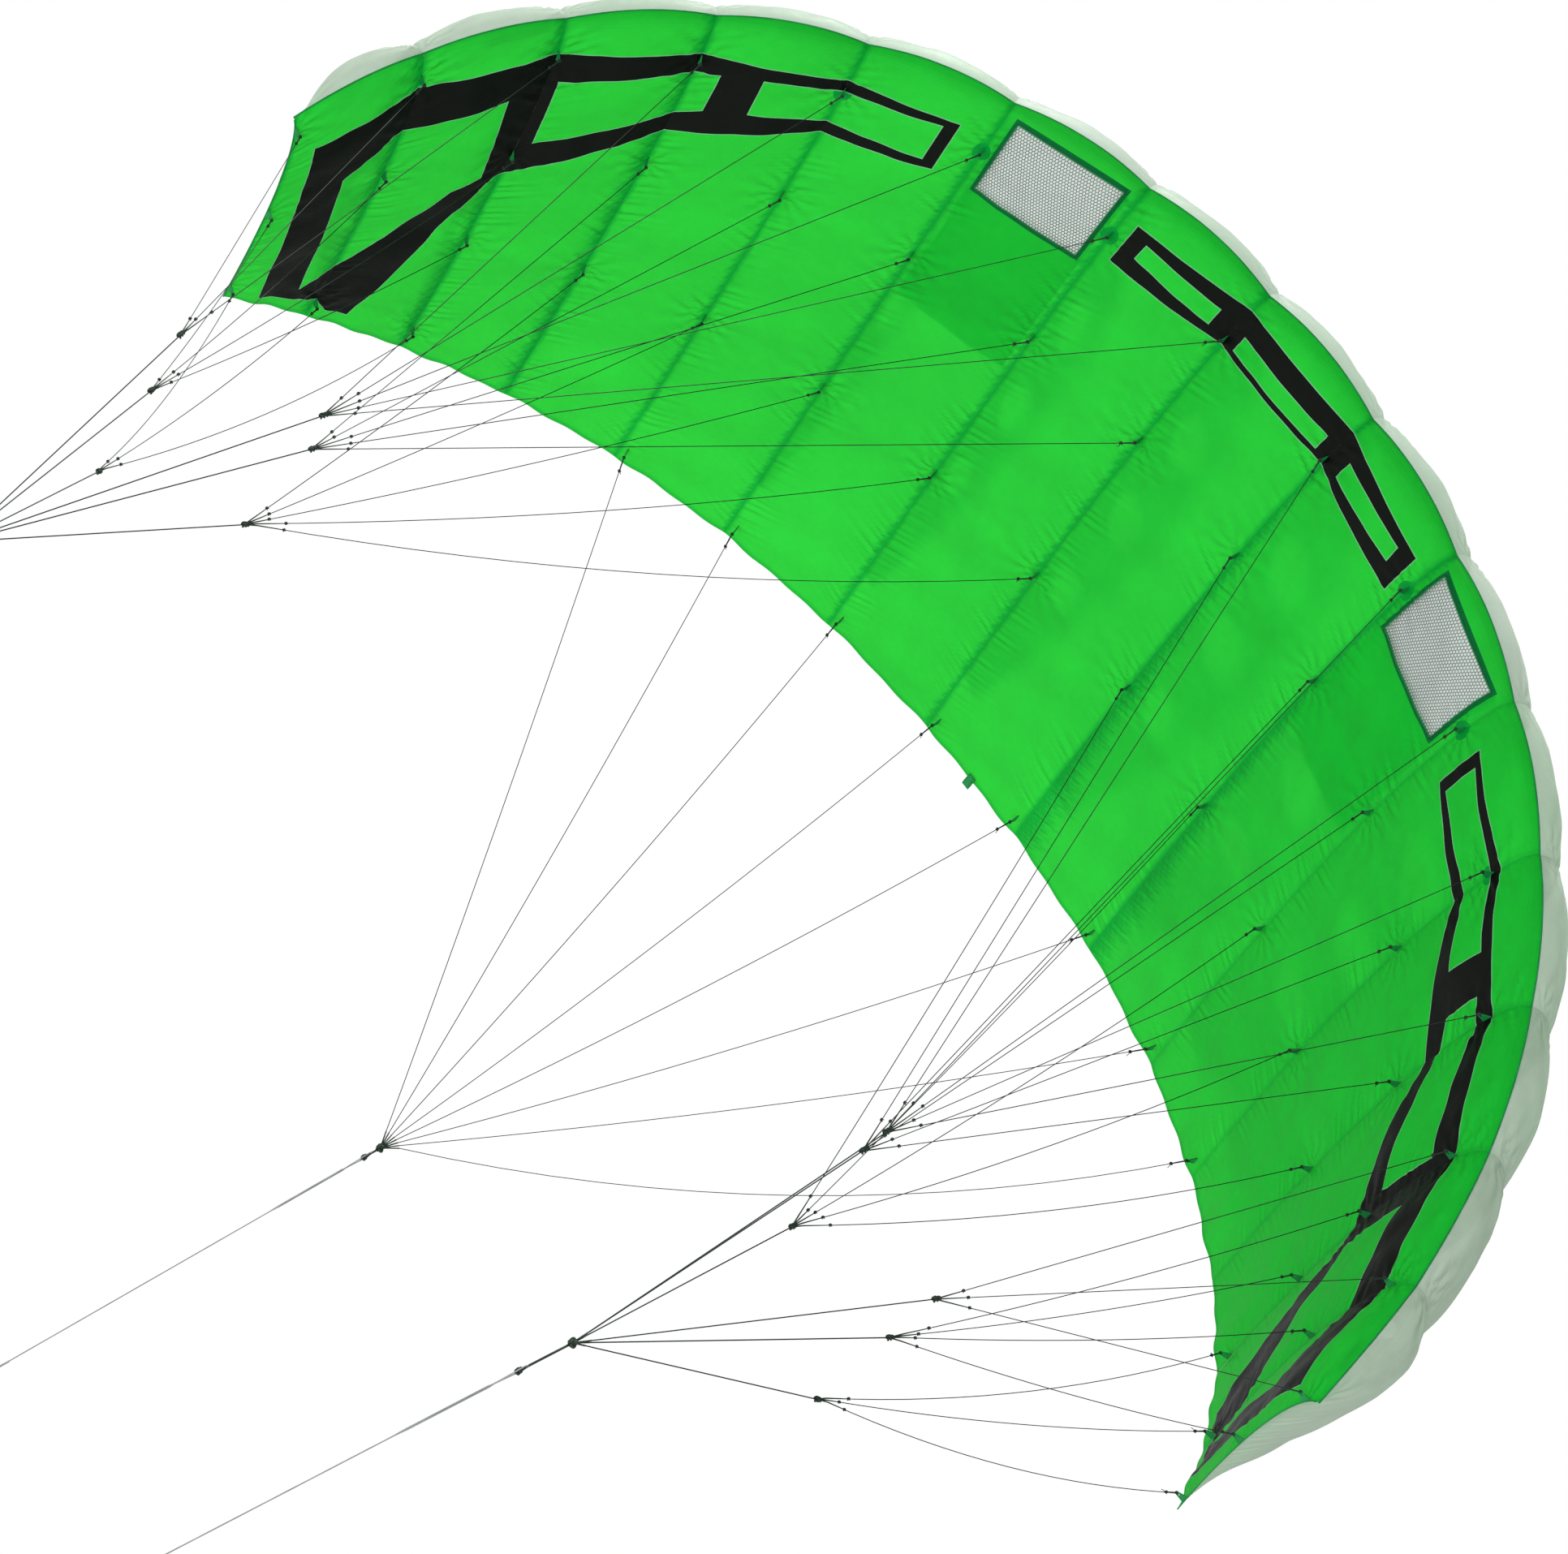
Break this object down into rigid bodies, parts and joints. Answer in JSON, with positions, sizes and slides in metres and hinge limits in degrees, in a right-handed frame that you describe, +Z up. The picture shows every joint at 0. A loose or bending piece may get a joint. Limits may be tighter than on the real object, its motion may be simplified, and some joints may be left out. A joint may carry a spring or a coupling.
{
  "type": "parafoil kite",
  "caption": "Inflated three-line parafoil trainer kite with ribbed green and white cells, cascaded bridle, brake flaps and flying line ends",
  "frame": {"origin": "midway between the two pigtail knots that the power lines are looped on", "axes": "+X along the span to the right tip seen from behind the flier's back, +Y from the leading edge to the trailing edge, +Z up from the line knots to the canopy"},
  "size_m": [2.763, 1.7627, 2.9988],
  "materials": {
    "green_skin": "ripstop nylon",
    "white_skin": "ripstop nylon",
    "rib_cloth": "firm ripstop nylon",
    "vent_mesh": "open mesh",
    "green_webbing": "woven tape",
    "valve_cloth": "ripstop nylon",
    "bridle_line": "braided line",
    "flying_line": "braided line"
  },
  "bodies": {
    "canopy": {"upper_panel_centre": "white_skin", "upper_panels_1": "white_skin", "upper_panels_2": "white_skin", "upper_panels_3": "white_skin", "upper_panels_4": "white_skin", "upper_panels_5": "white_skin", "upper_panels_6": "white_skin", "upper_panels_7": "white_skin", "lower_panel_centre": "green_skin", "lower_panels_1": "green_skin", "lower_panels_2": "green_skin", "lower_panels_3": "green_skin", "lower_panels_4": "green_skin", "lower_panels_5": "green_skin", "lower_panels_6": "green_skin", "lower_panels_7": "green_skin", "ribs_1": "rib_cloth", "ribs_2": "rib_cloth", "ribs_3": "rib_cloth", "ribs_4": "rib_cloth", "ribs_5": "rib_cloth", "ribs_6": "rib_cloth", "ribs_7": "rib_cloth", "leading_edge_piping": "green_webbing", "tip_piping_left": "green_webbing", "tip_piping_right": "green_webbing", "vent_mesh_left": "vent_mesh", "vent_mesh_right": "vent_mesh", "tabs_a": "green_webbing", "tabs_b": "green_webbing", "tabs_c": "green_webbing", "tabs_rear": "green_webbing", "bridle_left": "bridle_line", "bridle_right": "bridle_line", "main_lines_left": "bridle_line", "main_lines_right": "bridle_line"},
    "flap_centre": {"brake_flap_centre": "green_skin"},
    "flap_right_1": {"brake_flap_right_1": "green_skin"},
    "flap_right_2": {"brake_flap_right_2": "green_skin"},
    "flap_right_3": {"brake_flap_right_3": "green_skin"},
    "branch_right_1": {"brake_branch_right_1": "bridle_line"},
    "branch_right_2": {"brake_branch_right_2": "bridle_line"},
    "branch_right_3": {"brake_branch_right_3": "bridle_line"},
    "branch_right_4": {"brake_branch_right_4": "bridle_line"},
    "valve_right": {"valve_flap_right": "valve_cloth"},
    "power_line_right": {"power_line_right": "flying_line"},
    "flap_left_1": {"brake_flap_left_1": "green_skin"},
    "flap_left_2": {"brake_flap_left_2": "green_skin"},
    "flap_left_3": {"brake_flap_left_3": "green_skin"},
    "branch_left_1": {"brake_branch_left_1": "bridle_line"},
    "branch_left_2": {"brake_branch_left_2": "bridle_line"},
    "branch_left_3": {"brake_branch_left_3": "bridle_line"},
    "branch_left_4": {"brake_branch_left_4": "bridle_line"},
    "valve_left": {"valve_flap_left": "valve_cloth"},
    "power_line_left": {"power_line_left": "flying_line"},
    "brake_line": {"brake_line": "flying_line"},
    "pull_tab": {"pull_tab": "green_webbing"}
  },
  "joints": [
    {"name": "brake_flap_centre_hinge", "type": "hinge", "parent": "canopy", "child": "flap_centre", "pos_m": [0, 0.59639, 2.24628], "axis": [-1, 0, 0], "range_deg": [0, 14], "stiffness_Nm_per_rad": 2, "springref_deg": -20.05},
    {"name": "brake_flap_right_1_hinge", "type": "hinge", "parent": "canopy", "child": "flap_right_1", "pos_m": [0.24761, 0.59609, 2.22935], "axis": [-0.9906, 0.0024, 0.1368], "range_deg": [0, 13.91]},
    {"name": "brake_flap_left_1_hinge", "type": "hinge", "parent": "canopy", "child": "flap_left_1", "pos_m": [-0.24761, 0.59609, 2.22935], "axis": [-0.9906, -0.0024, -0.1368], "range_deg": [0, 13.91]},
    {"name": "brake_flap_right_2_hinge", "type": "hinge", "parent": "canopy", "child": "flap_right_2", "pos_m": [0.48568, 0.59462, 2.17652], "axis": [-0.9549, 0.0096, 0.2967], "range_deg": [0, 13.59]},
    {"name": "brake_flap_left_2_hinge", "type": "hinge", "parent": "canopy", "child": "flap_left_2", "pos_m": [-0.48568, 0.59462, 2.17652], "axis": [-0.9549, -0.0096, -0.2967], "range_deg": [0, 13.59]},
    {"name": "brake_flap_right_3_hinge", "type": "hinge", "parent": "canopy", "child": "flap_right_3", "pos_m": [0.705, 0.59113, 2.08701], "axis": [-0.8883, 0.0199, 0.4589], "range_deg": [0, 13.18]},
    {"name": "brake_flap_left_3_hinge", "type": "hinge", "parent": "canopy", "child": "flap_left_3", "pos_m": [-0.705, 0.59113, 2.08701], "axis": [-0.8883, -0.0199, -0.4589], "range_deg": [0, 13.18]},
    {"name": "brake_line_pull", "type": "slide", "parent": "canopy", "child": "brake_line", "axis": [0, 0.1749, -0.9846], "range_m": [0, 0.03034]},
    {"name": "brake_branch_right_1_swing", "type": "hinge", "parent": "brake_line", "child": "branch_right_1", "pos_m": [0, 1.156, 1.026], "axis": [0.9964, 0.0282, -0.0802], "range_deg": [0, 0.465]},
    {"name": "brake_branch_left_1_swing", "type": "hinge", "parent": "brake_line", "child": "branch_left_1", "pos_m": [0, 1.156, 1.026], "axis": [0.9964, -0.0282, 0.0802], "range_deg": [0, 0.465]},
    {"name": "brake_branch_right_2_swing", "type": "hinge", "parent": "brake_line", "child": "branch_right_2", "pos_m": [0, 1.156, 1.026], "axis": [0.8614, -0.3388, -0.3785], "range_deg": [0, 0.488]},
    {"name": "brake_branch_left_2_swing", "type": "hinge", "parent": "brake_line", "child": "branch_left_2", "pos_m": [0, 1.156, 1.026], "axis": [0.8614, 0.3388, 0.3785], "range_deg": [0, 0.488]},
    {"name": "brake_branch_right_3_swing", "type": "hinge", "parent": "brake_line", "child": "branch_right_3", "pos_m": [0, 1.156, 1.026], "axis": [0.5615, -0.6288, -0.5378], "range_deg": [0, 0.587]},
    {"name": "brake_branch_left_3_swing", "type": "hinge", "parent": "brake_line", "child": "branch_left_3", "pos_m": [0, 1.156, 1.026], "axis": [0.5615, 0.6288, 0.5378], "range_deg": [0, 0.587]},
    {"name": "brake_branch_right_4_swing", "type": "hinge", "parent": "brake_line", "child": "branch_right_4", "pos_m": [0, 1.156, 1.026], "axis": [0.2914, -0.7699, -0.5678], "range_deg": [0, 0.731]},
    {"name": "brake_branch_left_4_swing", "type": "hinge", "parent": "brake_line", "child": "branch_left_4", "pos_m": [0, 1.156, 1.026], "axis": [0.2914, 0.7699, 0.5678], "range_deg": [0, 0.731]},
    {"name": "valve_flap_right_hinge", "type": "hinge", "parent": "canopy", "child": "valve_right", "pos_m": [0.516, -0.38105, 2.18068], "axis": [0.9449, 0.1511, -0.2905], "range_deg": [0, 15]},
    {"name": "valve_flap_left_hinge", "type": "hinge", "parent": "canopy", "child": "valve_left", "pos_m": [-0.516, -0.38105, 2.18068], "axis": [0.9449, -0.1511, 0.2905], "range_deg": [0, 15]},
    {"name": "power_line_right_swing", "type": "hinge", "parent": "canopy", "child": "power_line_right", "pos_m": [0.734, 0, 0], "axis": [1, 0, 0], "range_deg": [-10, 10]},
    {"name": "power_line_left_swing", "type": "hinge", "parent": "canopy", "child": "power_line_left", "pos_m": [-0.734, 0, 0], "axis": [1, 0, 0], "range_deg": [-10, 10]},
    {"name": "pull_tab_fold", "type": "hinge", "parent": "flap_centre", "child": "pull_tab", "pos_m": [0, 0.74996, 2.26746], "axis": [-1, 0, 0], "range_deg": [0, 60]}
  ],
  "couplings": [
    {"joint": "brake_flap_right_1_hinge", "follows": "brake_flap_centre_hinge", "ratio": 0.99016},
    {"joint": "brake_flap_left_1_hinge", "follows": "brake_flap_centre_hinge", "ratio": 0.99016},
    {"joint": "brake_flap_right_2_hinge", "follows": "brake_flap_centre_hinge", "ratio": 0.96684},
    {"joint": "brake_flap_left_2_hinge", "follows": "brake_flap_centre_hinge", "ratio": 0.96684},
    {"joint": "brake_flap_right_3_hinge", "follows": "brake_flap_centre_hinge", "ratio": 0.93798},
    {"joint": "brake_flap_left_3_hinge", "follows": "brake_flap_centre_hinge", "ratio": 0.93798},
    {"joint": "brake_line_pull", "follows": "brake_flap_centre_hinge", "m_per_rad": 0.12212},
    {"joint": "brake_branch_right_1_swing", "follows": "brake_flap_centre_hinge", "ratio": 0.029626},
    {"joint": "brake_branch_left_1_swing", "follows": "brake_flap_centre_hinge", "ratio": 0.029626},
    {"joint": "brake_branch_right_2_swing", "follows": "brake_flap_centre_hinge", "ratio": 0.031311},
    {"joint": "brake_branch_left_2_swing", "follows": "brake_flap_centre_hinge", "ratio": 0.031311},
    {"joint": "brake_branch_right_3_swing", "follows": "brake_flap_centre_hinge", "ratio": 0.038375},
    {"joint": "brake_branch_left_3_swing", "follows": "brake_flap_centre_hinge", "ratio": 0.038375},
    {"joint": "brake_branch_right_4_swing", "follows": "brake_flap_centre_hinge", "ratio": 0.048631},
    {"joint": "brake_branch_left_4_swing", "follows": "brake_flap_centre_hinge", "ratio": 0.048631}
  ]
}
